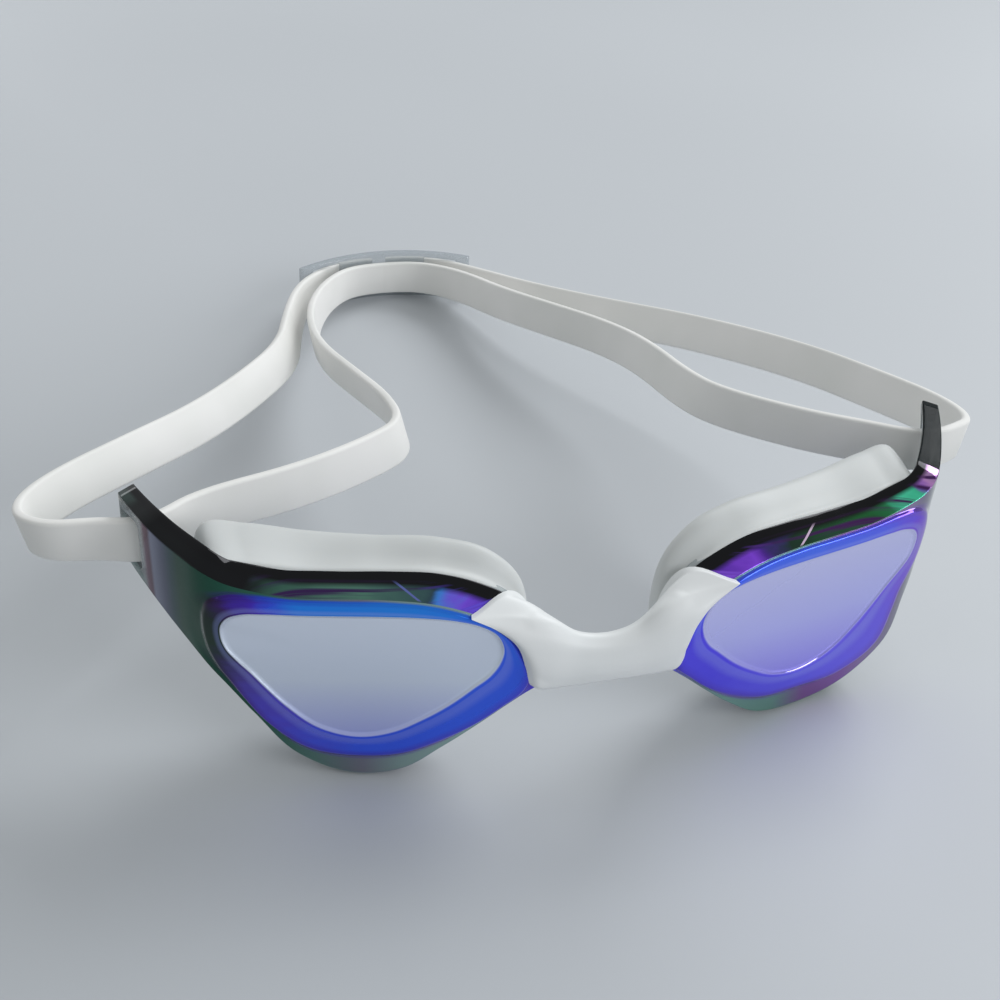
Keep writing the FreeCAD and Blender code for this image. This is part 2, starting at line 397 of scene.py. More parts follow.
@dataclass(frozen=True)
class MirrorCoat:
    """Polycarbonate, injection moulded, with a vacuum-deposited interference coat on its outer skin.

    The coat's thickness changes where the skin turns, so the ring round the window goes blue and violet
    and the steep walls go green and purple. The flat window's pale lavender is painted light, seen through
    it from the bright seal behind, and the ribbon's near-black rear is painted dark reflection of the room.

    Attributes:
        name: Name of the material.
        window: Colours up the window, pale as painted light seen through it from the seal.
        platform: Colours round the raised ring, from the nose corner over the top.
        shoulder: Colours round the slope outside the ring.
        wing: Colours along the wall, from the nose corner to the temple's tip.
        edge: Colours round the ribbon, which is the shell's narrow face between wall and seal; its bright
            violet and blue stops by the nose are painted highlights in the scoop, its near-black ones painted
            dark reflection.
        glint: Colour of the painted highlights, fine lines in the scoop by the nose.
        haze: Colour of the dim lines further out.
        fold: Colour of the painted highlight along the fold where the scoop ends.
        fold_at: Where round the shell the fold stands.
        haze_end: Where round the shell the dim outer lines end.
    """

    name: str
    window: dict
    platform: dict
    shoulder: dict
    wing: dict
    edge: dict
    glint: str
    haze: str
    fold: str
    fold_at: float
    haze_end: float

    # how many streaks, glint and haze lines and ripples lie in 100 mm, along the face and up it, or each way
    STREAKS = (14.0, 50.0, 1.0)
    GLINT_AND_HAZE_LINES = (3.0, 260.0, 1.0)
    RIPPLES = 22.0
    # how metallic the coat and the bare plastic are, and how dense the bare plastic looks
    METAL = (0.72, 0.12)
    BARE_ALPHA = 0.45

    def material(self) -> bpy.types.Material:
        """Builds the coat from the shell's zone coordinates.

        Returns:
            The material.
        """
        made, tree, shader = blank(self.name)
        zones = add(tree, "ShaderNodeUVMap", {"uv_map": "zones"}, {})
        split = add(tree, "ShaderNodeSeparateXYZ", {}, {0: zones.outputs[0]})
        around, ring = split.outputs[0], split.outputs[1]
        place = add(tree, "ShaderNodeUVMap", {"uv_map": "place"}, {}).outputs[0]
        spot = add(tree, "ShaderNodeSeparateXYZ", {}, {0: place})
        # 0.04 at the nose corner to 0.95 at the temple's tip, 80 mm a unit
        along = add(tree, "ShaderNodeMath", {"operation": "MULTIPLY_ADD", 1: 1.25, 2: 0.375},
                    {0: spot.outputs[0]}).outputs[0]
        # 0 at the window's bottom to 0.96 at its top, 25 mm a unit
        height = add(tree, "ShaderNodeMath", {"operation": "MULTIPLY_ADD", 1: 4.0, 2: -0.4},
                     {0: spot.outputs[1]}).outputs[0]
        colour = self.zone_colours(tree, (around, ring), place, (along, height))
        colour = self.glint_and_haze_lines(tree, (around, ring), place, colour)
        colour = self.fold_highlight(tree, (around, ring), colour)
        tree.links.new(colour, shader.inputs["Base Color"])
        # the coat stops short of the temple's end, which stays clear
        bare = add(tree, "ShaderNodeMapRange", {1: 0.845, 2: 0.87, 3: 1.0, 4: self.BARE_ALPHA}, {0: along})
        on_ribbon = add(tree, "ShaderNodeMapRange", {1: 3.9 / LAST_RING, 2: 4.0 / LAST_RING}, {0: ring})
        alpha = add(tree, "ShaderNodeMath", {"operation": "MAXIMUM"},
                    {0: bare.outputs[0], 1: on_ribbon.outputs[0]})
        tree.links.new(alpha.outputs[0], shader.inputs["Alpha"])
        # bare polycarbonate isn't metallic
        metal = add(tree, "ShaderNodeMapRange", {1: 0.83, 2: 0.87, 3: self.METAL[0], 4: self.METAL[1]},
                    {0: along})
        tree.links.new(metal.outputs[0], shader.inputs["Metallic"])
        shader.inputs["Roughness"].default_value = 0.07
        shader.inputs["Coat Weight"].default_value = 0.3
        shader.inputs["Coat Roughness"].default_value = 0.03
        # the moulded skin ripples very slightly, about every 5 mm
        wave = add(tree, "ShaderNodeTexNoise", {"Scale": self.RIPPLES, "Detail": 1.0}, {0: place})
        relief = add(tree, "ShaderNodeBump", {"Strength": 0.05, "Distance": 0.3 * MM},
                     {"Height": wave.outputs[0]})
        tree.links.new(relief.outputs[0], shader.inputs["Normal"])
        return made

    def zone_colours(self, tree: bpy.types.NodeTree, zone: tuple, place: bpy.types.NodeSocket,
                     reach: tuple) -> bpy.types.NodeSocket:
        """Lays each zone's colours over the last one's, from the window outward.

        Args:
            tree: The material's node tree.
            zone: Sockets of where a point lies round the shell, and of its ring.
            place: Socket of the point on the flat drawing.
            reach: Sockets of how far the point is along the wall and up the window.

        Returns:
            The colour's socket.
        """
        # the coat thins and thickens in soft streaks, about 7 mm along by 2 mm
        streak = add(tree, "ShaderNodeMapping", {"Scale": self.STREAKS}, {0: place})
        drift = add(tree, "ShaderNodeTexNoise", {"Scale": 1.0, "Detail": 3.0}, {0: streak.outputs[0]})
        shift = add(tree, "ShaderNodeMath", {"operation": "MULTIPLY_ADD", 1: 0.07, 2: -0.035},
                    {0: drift.outputs[0]})
        around = add(tree, "ShaderNodeMath", {"operation": "ADD"}, {0: zone[0], 1: shift.outputs[0]})
        # painted light: the window's pale ramp stands for the bright seal seen through it, lighter towards
        # the top
        colour, wing = (add(tree, "ShaderNodeValToRGB", {"stops": stops}, {0: factor}).outputs[0]
                        for stops, factor in ((self.window, reach[1]), (self.wing, reach[0])))
        platform, shoulder, edge = (
            add(tree, "ShaderNodeValToRGB", {"stops": stops}, {0: around.outputs[0]}).outputs[0]
            for stops in (self.platform, self.shoulder, self.edge))
        # painted dark reflection: the ribbon's rear part and the wall behind it go near black
        dark = add(tree, "ShaderNodeRGB", {}, {})
        dark.outputs[0].default_value = linear("#08080d")
        # painted highlight: a pale second line back through the ring, for the light off the window's bevel
        pale = add(tree, "ShaderNodeMix", {"data_type": "RGBA", 0: 0.24, 7: linear("#aab6ff")},
                   {6: platform})
        # ring where each colour starts to show, ring where it has taken over, and the colour
        for start, end, over in ((1.0, 1.06, platform), (1.12, 1.15, pale.outputs[2]), (1.3, 1.5, platform),
                                 (1.75, 2.25, shoulder), (2.8, 3.15, wing), (3.92, 4.0, edge),
                                 (4.42, 4.62, dark.outputs[0])):
            share = add(tree, "ShaderNodeMapRange", {1: start / LAST_RING, 2: end / LAST_RING}, {0: zone[1]})
            mixed = add(tree, "ShaderNodeMix", {"data_type": "RGBA"},
                        {0: share.outputs[0], 6: colour, 7: over})
            colour = mixed.outputs[2]
        return colour

    def glint_and_haze_lines(self, tree: bpy.types.NodeTree, zone: tuple, place: bpy.types.NodeSocket,
                   colour: bpy.types.NodeSocket) -> bpy.types.NodeSocket:
        """Paints fine lines on the ribbon: painted highlights, bright in the scoop, and dim lines further
        out.

        Args:
            tree: The material's node tree.
            zone: Sockets of where a point lies round the shell, and of its ring.
            place: Socket of the point on the flat drawing.
            colour: Socket of the colour under the lines.

        Returns:
            The colour's socket.
        """
        around, ring = zone
        line_map = add(tree, "ShaderNodeMapping", {"Scale": self.GLINT_AND_HAZE_LINES}, {0: place})
        lines = add(tree, "ShaderNodeTexNoise", {"Scale": 1.0, "Detail": 2.0}, {0: line_map.outputs[0]})
        # the first row is the dim haze, the second the painted highlights in the scoop
        # strength from which a line shows, where round the shell it appears and is full, and its colour
        for low, near, far, tone in ((0.50, self.haze_end + 0.02, self.haze_end, self.haze),
                                     (0.46, 0.21, 0.17, self.glint)):
            spark = add(tree, "ShaderNodeMapRange", {1: low, 2: low + 0.14}, {0: lines.outputs[0]})
            # they keep to the ribbon, off its rear part and clear of the nose
            for source, start, end in ((ring, 3.97 / LAST_RING, 4.03 / LAST_RING),
                                       (ring, 4.75 / LAST_RING, 4.4 / LAST_RING),
                                       (around, near, far), (around, 0.09, 0.115)):
                gate = add(tree, "ShaderNodeMapRange", {1: start, 2: end}, {0: source})
                spark = add(tree, "ShaderNodeMath", {"operation": "MULTIPLY"},
                            {0: spark.outputs[0], 1: gate.outputs[0]})
            lit = add(tree, "ShaderNodeMix", {"data_type": "RGBA", 7: linear(tone)},
                      {0: spark.outputs[0], 6: colour})
            colour = lit.outputs[2]
        return colour

    def fold_highlight(self, tree: bpy.types.NodeTree, zone: tuple,
                  colour: bpy.types.NodeSocket) -> bpy.types.NodeSocket:
        """Paints a highlight as one slanting line along the fold where the scoop ends.

        Args:
            tree: The material's node tree.
            zone: Sockets of where a point lies round the shell, and of its ring.
            colour: Socket of the colour under the line.

        Returns:
            The colour's socket.
        """
        around, ring = zone
        lean, half_width = -0.36, 0.0014
        slant = add(tree, "ShaderNodeMath", {"operation": "MULTIPLY_ADD", 1: lean}, {0: ring, 2: around})
        fold = add(tree, "ShaderNodeMath", {"operation": "COMPARE", 1: self.fold_at, 2: half_width},
                   {0: slant.outputs[0]})
        # it keeps to the ribbon, off its rear part
        for start, end in ((4.0, 4.06), (4.72, 4.5)):
            gate = add(tree, "ShaderNodeMapRange", {1: start / LAST_RING, 2: end / LAST_RING}, {0: ring})
            fold = add(tree, "ShaderNodeMath", {"operation": "MULTIPLY"},
                       {0: fold.outputs[0], 1: gate.outputs[0]})
        lit = add(tree, "ShaderNodeMix", {"data_type": "RGBA", 7: linear(self.fold)},
                  {0: fold.outputs[0], 6: colour})
        return lit.outputs[2]


@dataclass(frozen=True)
class ClearPolycarbonate:
    """Clear plastic such as polycarbonate, injection moulded.

    It shows as a cool grey pane with crisp highlights and what lies behind it.

    Attributes:
        name: Name of the material.
        tint: Colour of the plastic.
        alpha: How dense it looks face on.
        gloss: Weight of the clear layer on top.
        ior: Index of refraction, which sets how strongly the skin reflects.
    """

    name: str
    tint: str
    alpha: float
    gloss: float = 0.3
    ior: float = 1.58

    def material(self) -> bpy.types.Material:
        """Builds the clear finish.

        Returns:
            The material.
        """
        made, tree, shader = blank(self.name)
        where = add(tree, "ShaderNodeTexCoord", {}, {})
        # faint flow marks about 4 mm apart
        marks = add(tree, "ShaderNodeTexNoise", {"Scale": 250.0, "Detail": 2.0}, {0: where.outputs["Object"]})
        rough = add(tree, "ShaderNodeMapRange", {3: 0.05, 4: 0.14}, {0: marks.outputs[0]})
        tree.links.new(rough.outputs[0], shader.inputs["Roughness"])
        # a clear wall looks denser where it is seen along its length, so its edges stand out
        turned = add(tree, "ShaderNodeLayerWeight", {"Blend": 0.5}, {})
        dense = add(tree, "ShaderNodeMapRange", {1: 0.35, 2: 0.95, 3: self.alpha, 4: 0.5 + self.alpha / 2},
                    {0: turned.outputs["Facing"]})
        tree.links.new(dense.outputs[0], shader.inputs["Alpha"])
        shader.inputs["Base Color"].default_value = linear(self.tint)
        shader.inputs["IOR"].default_value = self.ior
        shader.inputs["Coat Weight"].default_value = self.gloss
        return made


@dataclass(frozen=True)
class Silicone:
    """Liquid silicone rubber, moulded in a fine-blasted mould.

    The blasted mould leaves a satin skin with a dust-fine grain, and light goes a little way into the
    thin lips, so shaded faces stay soft.

    Attributes:
        name: Name of the material.
        colour: Its lighter tone.
        shade: Its darker tone.
        roughness: Roughness of the skin, about which the grain varies it.
        grain_mm: Size of the grain, in millimetres.
        bleed: How much light goes into it.
    """

    name: str
    colour: str
    shade: str
    roughness: float
    grain_mm: float
    bleed: float

    def material(self) -> bpy.types.Material:
        """Builds the rubber.

        Returns:
            The material.
        """
        made, tree, shader = blank(self.name)
        where = add(tree, "ShaderNodeTexCoord", {}, {})
        # slow change of tone over about 20 mm, as in handled rubber
        tone = add(tree, "ShaderNodeTexNoise", {"Scale": 50.0, "Detail": 2.0}, {0: where.outputs["Object"]})
        colour = add(tree, "ShaderNodeValToRGB", {"stops": {0.3: self.shade, 0.65: self.colour}},
                     {0: tone.outputs[0]})
        tree.links.new(colour.outputs[0], shader.inputs["Base Color"])
        grain = add(tree, "ShaderNodeTexNoise", {"Scale": 1 / (self.grain_mm * MM), "Detail": 2.0},
                    {0: where.outputs["Object"]})
        relief = add(tree, "ShaderNodeBump", {"Strength": 0.12, "Distance": 0.05 * MM},
                     {"Height": grain.outputs[0]})
        tree.links.new(relief.outputs[0], shader.inputs["Normal"])
        satin = add(tree, "ShaderNodeMapRange", {3: self.roughness - 0.05, 4: self.roughness + 0.07},
                    {0: grain.outputs[0]})
        tree.links.new(satin.outputs[0], shader.inputs["Roughness"])
        shader.inputs["IOR"].default_value = 1.41
        shader.inputs["Subsurface Weight"].default_value = self.bleed
        shader.inputs["Subsurface Radius"].default_value = (1.0, 0.9, 0.8)
        shader.inputs["Subsurface Scale"].default_value = MM
        return made


@dataclass(frozen=True)
class TableTop:
    """Lacquered board, sprayed pale grey. Its low gloss gives soft, short reflections.

    Attributes:
        name: Name of the material.
        colour: Its lighter tone.
        shade: Its darker tone.
        painted_shade: The painted shade that it darkens to at the left front.
    """

    name: str
    colour: str
    shade: str
    painted_shade: str

    def material(self) -> bpy.types.Material:
        """Builds the table's finish.

        Returns:
            The material.
        """
        made, tree, shader = blank(self.name)
        where = add(tree, "ShaderNodeTexCoord", {}, {})
        # broad clouds of tone, about 250 mm across
        tone = add(tree, "ShaderNodeTexNoise", {"Scale": 4.0, "Detail": 1.0}, {0: where.outputs["Object"]})
        board = add(tree, "ShaderNodeValToRGB", {"stops": {0.3: self.shade, 0.7: self.colour}},
                    {0: tone.outputs[0]})
        # painted shade: the board darkens slowly towards the table's left front
        spot = add(tree, "ShaderNodeSeparateXYZ", {}, {0: where.outputs["Object"]})
        lean = add(tree, "ShaderNodeMath", {"operation": "MULTIPLY_ADD", 1: 0.35},
                   {0: spot.outputs[1], 2: spot.outputs[0]})
        fade = add(tree, "ShaderNodeMapRange", {1: 0.0, 2: -0.26, 3: 0.0, 4: 0.7}, {0: lean.outputs[0]})
        painted_shade = add(tree, "ShaderNodeMix", {"data_type": "RGBA", 7: linear(self.painted_shade)},
                   {0: fade.outputs[0], 6: board.outputs[0]})
        tree.links.new(painted_shade.outputs[2], shader.inputs["Base Color"])
        shader.inputs["Roughness"].default_value = 0.5
        shader.inputs["Specular IOR Level"].default_value = 0.35
        return made


def finished(finish: object) -> bpy.types.Material:
    """The material of a finish, built the first time that it is asked for.

    Args:
        finish: One of the finishes below.

    Returns:
        The material.
    """
    return bpy.data.materials.get(finish.name) or finish.material()


# in both coats, the edge's bright violet and blue stops by the nose are painted highlights, its near-black
# stops painted dark reflection; glint and fold are painted highlights
RIGHT_COAT = MirrorCoat(
    "mirror_coated_polycarbonate_blue",
    window={0.0: "#bec6ff", 0.45: "#e4eeff", 1.0: "#e8f0ff"},
    platform={0.0: "#3a68ff", 0.12: "#3478ff", 0.20: "#1f90ff", 0.30: "#1c8cff", 0.335: "#3458f0",
              0.36: "#4a2ac8", 0.405: "#3a1a66", 0.45: "#243030", 0.52: "#2a4036", 0.57: "#3c3a60",
              0.62: "#5648a8", 0.69: "#5a50dc", 0.77: "#3c64ff", 0.90: "#3a68ff"},
    shoulder={0.0: "#5a3ae8", 0.12: "#3468f8", 0.20: "#1f84f8", 0.32: "#2450e0", 0.37: "#3a1c90",
              0.42: "#2c1440", 0.46: "#182a24", 0.54: "#1c3a2e", 0.60: "#3a1c50", 0.68: "#5226a0",
              0.77: "#4a2ab8", 0.88: "#5a2ab0", 0.97: "#5a34d8"},
    wing={0.05: "#5a4ae0", 0.11: "#8a9cb0", 0.18: "#9ab8b2", 0.30: "#90aaa6", 0.375: "#80808e",
          0.47: "#5c8078", 0.56: "#2e6656", 0.63: "#145240", 0.735: "#0a4030", 0.76: "#1c3e48",
          0.785: "#474d68", 0.822: "#777b94", 0.832: "#4a1c3c", 0.846: "#5a2c4c", 0.86: "#a2a8ae",
          0.95: "#b4bcbf"},
    edge={0.0: "#4a2cb8", 0.11: "#1a2440", 0.135: "#4a1cb0", 0.165: "#8a5aff", 0.19: "#4a9aff",
          0.205: "#34505c", 0.26: "#5c8c7a", 0.31: "#3c6658", 0.35: "#0a0a10", 0.45: "#0c1012",
          0.47: "#33423f", 0.50: "#8a9a9e", 0.60: "#5c8478", 0.74: "#7a9a94", 0.82: "#8a8aa8",
          0.95: "#5a4ad0"},
    glint="#7a5cff", haze="#3a1c58", fold="#6f7cc8", fold_at=0.0865, haze_end=0.32)
LEFT_COAT = MirrorCoat(
    "mirror_coated_polycarbonate_violet",
    window={0.0: "#a49cff", 0.45: "#c0c2ff", 1.0: "#d0d2fb"},
    platform={0.0: "#5040f4", 0.12: "#4468ff", 0.24: "#4a74ff", 0.33: "#5a68ff", 0.40: "#7a50e8",
              0.47: "#8a6ad8", 0.56: "#8a68e8", 0.66: "#7462f4", 0.77: "#6a62ff", 0.90: "#5448f4"},
    shoulder={0.0: "#4a34d0", 0.12: "#4058f0", 0.26: "#4660f4", 0.36: "#6a3cc4", 0.44: "#9a90b0",
              0.52: "#9a92b0", 0.62: "#7a4ab0", 0.72: "#6a34b8", 0.84: "#5c34c4", 0.95: "#4a34d0"},
    wing={0.05: "#5a4ae0", 0.11: "#7a8c98", 0.20: "#78a498", 0.34: "#6c9a8c", 0.42: "#84589c",
          0.52: "#8658a8", 0.60: "#8f80a8", 0.68: "#7c8488", 0.80: "#5c686c", 0.86: "#8c989c",
          0.95: "#a4aeb2"},
    edge={0.0: "#4a2cb8", 0.10: "#14222a", 0.14: "#5a2ab8", 0.18: "#9a50ff", 0.205: "#5a2ca8",
          0.23: "#1c3c2c", 0.30: "#1c6a34", 0.335: "#2c8a58", 0.352: "#5af0c0", 0.368: "#48d8a8",
          0.376: "#8a50d0", 0.384: "#d89ae0", 0.396: "#b890c4", 0.402: "#2a1c38", 0.43: "#141a1c",
          0.455: "#2c4a48", 0.48: "#5a6664", 0.52: "#8a9a9e", 0.62: "#9a92b4", 0.72: "#6a9a8c",
          0.82: "#5c9484", 0.92: "#5a5aa8"},
    glint="#9a5cff", haze="#4a1c60", fold="#ffe0ff", fold_at=0.112, haze_end=0.41)
# the inside of the shell, which the coat doesn't reach
BARE_SHELL = ClearPolycarbonate("clear_polycarbonate_moulded", "#a9b4b8", 0.36)
# painted dark reflection: the left ribbon's end, made nearly black and hardly reflecting, for the dark part
# of the room that it mirrors
DARK_END = ClearPolycarbonate("polycarbonate_painted_dark_reflection", "#10181a", 0.95, gloss=0.0, ior=1.1)
SEAL_RUBBER = Silicone("liquid_silicone_satin_white", "#cfd2d1", "#c6c9c8", 0.45, 0.25, 0.2)
BRIDGE_RUBBER = Silicone("liquid_silicone_soft_white", "#e6e8e8", "#dee1e1", 0.40, 0.22, 0.0)
BAND_RUBBER = Silicone("liquid_silicone_matt_white", "#ebeae7", "#e3e3df", 0.55, 0.30, 0.0)
CLIP_PLASTIC = ClearPolycarbonate("clear_copolyester_moulded", "#9aa6ad", 0.32)
# the table's last tone is painted shade for its left front
TABLE = TableTop("lacquered_board_pale_grey", "#c3c7cb", "#bdc1c5", "#92979a")


# --- lens body --------------------------------------------------------------------------------
@dataclass(frozen=True)
class LensBody:
    """One lens body: flat window, raised ring, bowl wall and temple wing, moulded in one.

    The outlines are (across, up) in millimetres, in step with each other from the nose corner over the
    top, round the temple's tip and back underneath. Depths are millimetres behind the ring's front.

    Attributes:
        layout: Where the drawing stands.
        side: Side of the nose.
        spans: Pieces between two knots of an outline.
        window_depth: Depth of the window.
        ring_depth: Depth of the raised ring's outer edge.
        wing_depth: Depth of the crease, where the wall starts.
        wall_depth: Depth of the wall's rear edge over the top and at the nose.
        low_depth: Depth of that edge underneath.
        rim_depth: Depth of the rim that the seal sits in.
        wall: Thickness of the rim.
        slot_across: Middle of the strap slot, across the face.
        slot_up: Middle of the strap slot, above the table.
        slot_length: Size of the slot along the temple.
        slot_height: Size of the slot up the temple.
        slot_radius: Radius of its corners.
        dark_end: Where round the left body its ribbon is nearly black, as painted dark reflection.
    """

    layout: Layout
    side: Side
    spans: int = 8
    window_depth: float = 0.28
    ring_depth: float = 0.05
    wing_depth: float = 0.7
    wall_depth: float = 4.7
    low_depth: float = 3.4
    rim_depth: float = 6.0
    wall: float = 1.9
    slot_across: float = 41.9
    slot_up: float = 36.5
    slot_length: float = 4.8
    slot_height: float = 9.2
    slot_radius: float = 1.2
    dark_end: tuple = (0.396, 0.475)

    WINDOW = [(-20.5, 25.2), (-21.0, 28.2), (-19.9, 30.8), (-17.3, 32.4), (-13.6, 33.3), (-9.0, 33.7),
              (-3.0, 33.8), (3.0, 33.8), (9.0, 33.9), (14.0, 34.1), (17.4, 34.0), (19.3, 33.3),
              (20.3, 31.8), (20.4, 29.9), (19.8, 27.7), (18.3, 25.4), (16.3, 22.9), (14.2, 20.0),
              (11.2, 16.2), (6.2, 11.7), (0.2, 10.0), (-4.6, 11.0), (-8.9, 13.5), (-13.0, 16.6),
              (-16.7, 20.2), (-19.2, 22.8)]
    PLATFORM = [(-25.4, 22.0), (-24.2, 26.0), (-22.0, 29.8), (-18.8, 32.6), (-14.9, 34.3), (-10.4, 35.6),
                (-4.0, 36.3), (3.1, 36.4), (10.0, 36.6), (15.2, 37.1), (19.4, 37.1), (22.2, 35.7),
                (23.3, 33.2), (23.4, 30.2), (22.7, 26.7), (21.3, 23.6), (19.6, 20.8), (17.8, 17.4),
                (14.4, 12.2), (8.0, 7.0), (0.2, 5.5), (-5.9, 6.0), (-12.0, 8.8), (-17.4, 12.2),
                (-21.7, 16.2), (-24.7, 19.6)]
    CREASE = [(-26.9, 20.0), (-25.9, 24.4), (-23.6, 29.2), (-20.1, 32.7), (-16.0, 34.6), (-11.3, 36.0),
              (-4.0, 36.8), (4.0, 36.9), (11.4, 37.2), (17.6, 38.7), (24.5, 41.3), (34.5, 42.2),
              (45.6, 43.3), (45.9, 37.4), (45.4, 31.5), (37.5, 29.6), (29.0, 26.9), (21.4, 20.8),
              (16.8, 14.2), (10.0, 5.0), (0.6, 0.7), (-6.2, 1.8), (-12.6, 6.8), (-18.3, 12.0),
              (-22.8, 16.4), (-25.5, 18.9)]
    BOWL = [(-26.4, 20.6), (-25.9, 25.0), (-24.4, 30.2), (-22.0, 34.4), (-17.6, 36.9), (-11.5, 38.6),
            (-4.0, 38.9), (3.8, 38.8), (11.0, 39.0), (16.6, 39.7), (20.8, 39.8), (23.2, 38.6),
            (24.0, 35.5), (24.0, 32.0), (23.4, 28.2), (22.0, 24.4), (20.2, 20.6), (18.0, 16.4),
            (14.8, 11.4), (8.8, 3.6), (0.6, 0.08), (-6.3, 1.6), (-12.6, 5.8), (-18.0, 10.6),
            (-22.6, 15.0), (-25.4, 18.0)]
    # (across, up, depth) of the wing's rear edge by knot, over the top and underneath
    WING_TOP = {9: (17.8, 40.5, 4.8), 10: (24.8, 42.2, 4.6), 11: (34.6, 43.0, 4.1), 12: (45.8, 43.9, 3.5)}
    WING_LOW = {13: (45.9, 37.4, 2.5), 14: (45.4, 31.5, 2.3), 15: (37.5, 29.6, 2.1), 16: (29.0, 26.9, 2.1)}
    # knots where the outlines turn sharply, at the nose corner and the temple's tip
    CORNERS = (0, 12, 14)
    CENTRE = (0.0, 24.0)
    WING_KNOTS = range(10, 17)
    # first knot of the low wall, and the one before it, where the wing's lower edge runs into the wall
    LOW_KNOT = 18
    JOIN = (20.4, 19.8, 2.6)
    # the left body is fuller at its lower outer corner: (across, up) by knot, and the window ring's share
    FULLER = {16: (0.6, -0.4), 17: (2.2, -1.7), 18: (4.3, -3.9), 19: (3.4, -1.9), 20: (2.0, 0.1),
              21: (0.6, 0.1)}
    RING_SHARE = 0.7
    # pieces that the skin has between a ring and the next one, and the radius of a ring's edge
    PIECES = {0: 1, 1: 4, 2: 2, 3: 10, 4: 4, 5: 2, 6: 2, 7: 10, 8: 3, 9: 2, 10: 4, 11: 2}
    EDGE_RADII = {1: 0.12, 2: 0.35, 3: 0.35, 4: 0.22, 5: 0.3, 6: 0.25, 9: 0.4, 10: 0.4}
    # ring where the temple wing ends inside, and the ring of the rim
    ROOT, RIM = 8, 9
    # rings between which the ribbon lies, and the ring past which the shell is uncoated
    RIBBON = (4.0, 5.2)
    COAT_END = 5.6

    def knots(self) -> list:
        """Rings of (across, up, depth) knots, from the window's edge round to the back of the window.

        Returns:
            One array of knots for each ring.
        """
        window, platform = np.array(self.WINDOW), np.array(self.PLATFORM)
        crease, bowl = np.array(self.CREASE), np.array(self.BOWL)
        swell = np.zeros_like(bowl)
        if self.side is Side.LEFT:
            for index, step in self.FULLER.items():
                swell[index] = step
        platform, crease, bowl = platform + swell * self.RING_SHARE, crease + swell, bowl + swell
        step = crease - platform
        gap = np.linalg.norm(step, axis=1)[:, None]
        shoulder = platform + step / gap * np.minimum(1.0, 0.5 * gap)
        rear, low = self.at(bowl, self.wall_depth), slice(self.LOW_KNOT, None)
        # underneath, the wall's rear edge lies between the crease and the rim
        rear[low, 2] = self.low_depth
        rear[low, :2] = (crease * 0.4 + bowl * 0.6)[low]
        rear[self.LOW_KNOT - 1] = (*swell[self.LOW_KNOT - 1], 0.0) + np.array(self.JOIN)
        for index, knot in {**self.WING_TOP, **self.WING_LOW}.items():
            rear[index] = knot
        rim = self.at(bowl, self.rim_depth)
        lip, corner, root = (rear + (rim - rear) * share for share in (0.3, 0.6, 0.9))
        # the wing has its own narrow rear face, and an inner face that comes back to the bowl
        for index in self.WING_TOP:
            lip[index] = rear[index] + (-0.1, -1.2, 0.1)
            corner[index] = rear[index] + (-0.4, -1.9, 2.3 - rear[index][2])
        for index in self.WING_LOW:
            lip[index] = rear[index] + (-0.2, 0.25, 0.1)
            corner[index] = rear[index] + (-0.5, 0.7, 0.1)
        for index in self.WING_KNOTS:
            root[index] = (bowl[index][0] - 0.6, bowl[index][1], 2.4)
        back = window + (window - self.CENTRE) * 0.05
        return [self.at(window, self.window_depth), self.at(grown(window, self.CENTRE, 0.3), 0.0),
                self.at(platform, self.ring_depth), self.at(shoulder, self.wing_depth - 0.05),
                self.at(crease, self.wing_depth), rear, lip, corner, root, rim,
                self.at(grown(bowl, self.CENTRE, -self.wall), self.rim_depth),
                self.at(grown(back, self.CENTRE, 1.6), 3.2), self.at(back, 2.3)]

    @staticmethod
    def at(outline: np.ndarray, depth: float) -> np.ndarray:
        """An outline's points, all at one depth."""
        return np.column_stack([outline, np.full(len(outline), depth)])

    def build(self) -> bpy.types.Object:
        """Makes the shell with its strap slot.

        Returns:
            The lens object, with its zone coordinates.
        """
        corners = [()] * 3 + [self.CORNERS] * 7 + [()] * 3
        flat = [smooth_curve(ring, self.spans, True, sharp) for ring, sharp in zip(self.knots(), corners)]
        divided, marks = [], []
        for index, ring in enumerate(flat):
            pieces = self.PIECES.get(index, 1)
            follow = flat[min(index + 1, LAST_RING)]
            for part in range(pieces):
                divided.append(ring + (follow - ring) * (part / pieces))
                marks.append(index + part / pieces)
        # the outside and the wing wrap round to the temple, the bowl goes straight back, and between
        # them the skin passes from one to the other
        shaped = [self.layout.unrolled(ring, Turn.WRAPPED if mark <= self.ROOT else Turn.STRAIGHT)
                  for ring, mark in zip(divided, marks)]
        first, last = marks.index(self.ROOT), marks.index(self.RIM)
        for index in range(first + 1, last):
            share = (index - first) / (last - first)
            shaped[index] = shaped[first] * (1 - share) + shaped[last] * share
        soft = {marks.index(ring): radius for ring, radius in self.EDGE_RADII.items()}
        rings, order = eased(shaped, soft)
        zone = np.interp(order, range(len(marks)), marks)
        flat_rings, _ = eased(divided, soft)
        self.add_caps(rings, flat_rings)
        zone = np.concatenate([[0.0, 0.0], zone, [float(LAST_RING)]])
        lens = skin(f"{self.side.word}_lens_body", [self.layout.place(r, self.side) for r in rings])
        self.mark_zones(lens, flat_rings, zone)
        return self.cut_slot(lens)

    def add_caps(self, rings: list, flat_rings: list) -> None:
        """Puts smaller rings inside the window's front and back, so that the end faces stay flat.

        Args:
            rings: The shell's rings, which this changes.
            flat_rings: The same rings on the flat drawing, which this changes too.
        """
        for stack in (rings, flat_rings):
            front, back = stack[0], stack[-1]
            middle, rear = front.mean(0), back.mean(0)
            stack.insert(0, middle + (front - middle) * 0.97)
            stack.insert(0, middle + (front - middle) * 0.5)
            stack.append(rear + (back - rear) * 0.6)

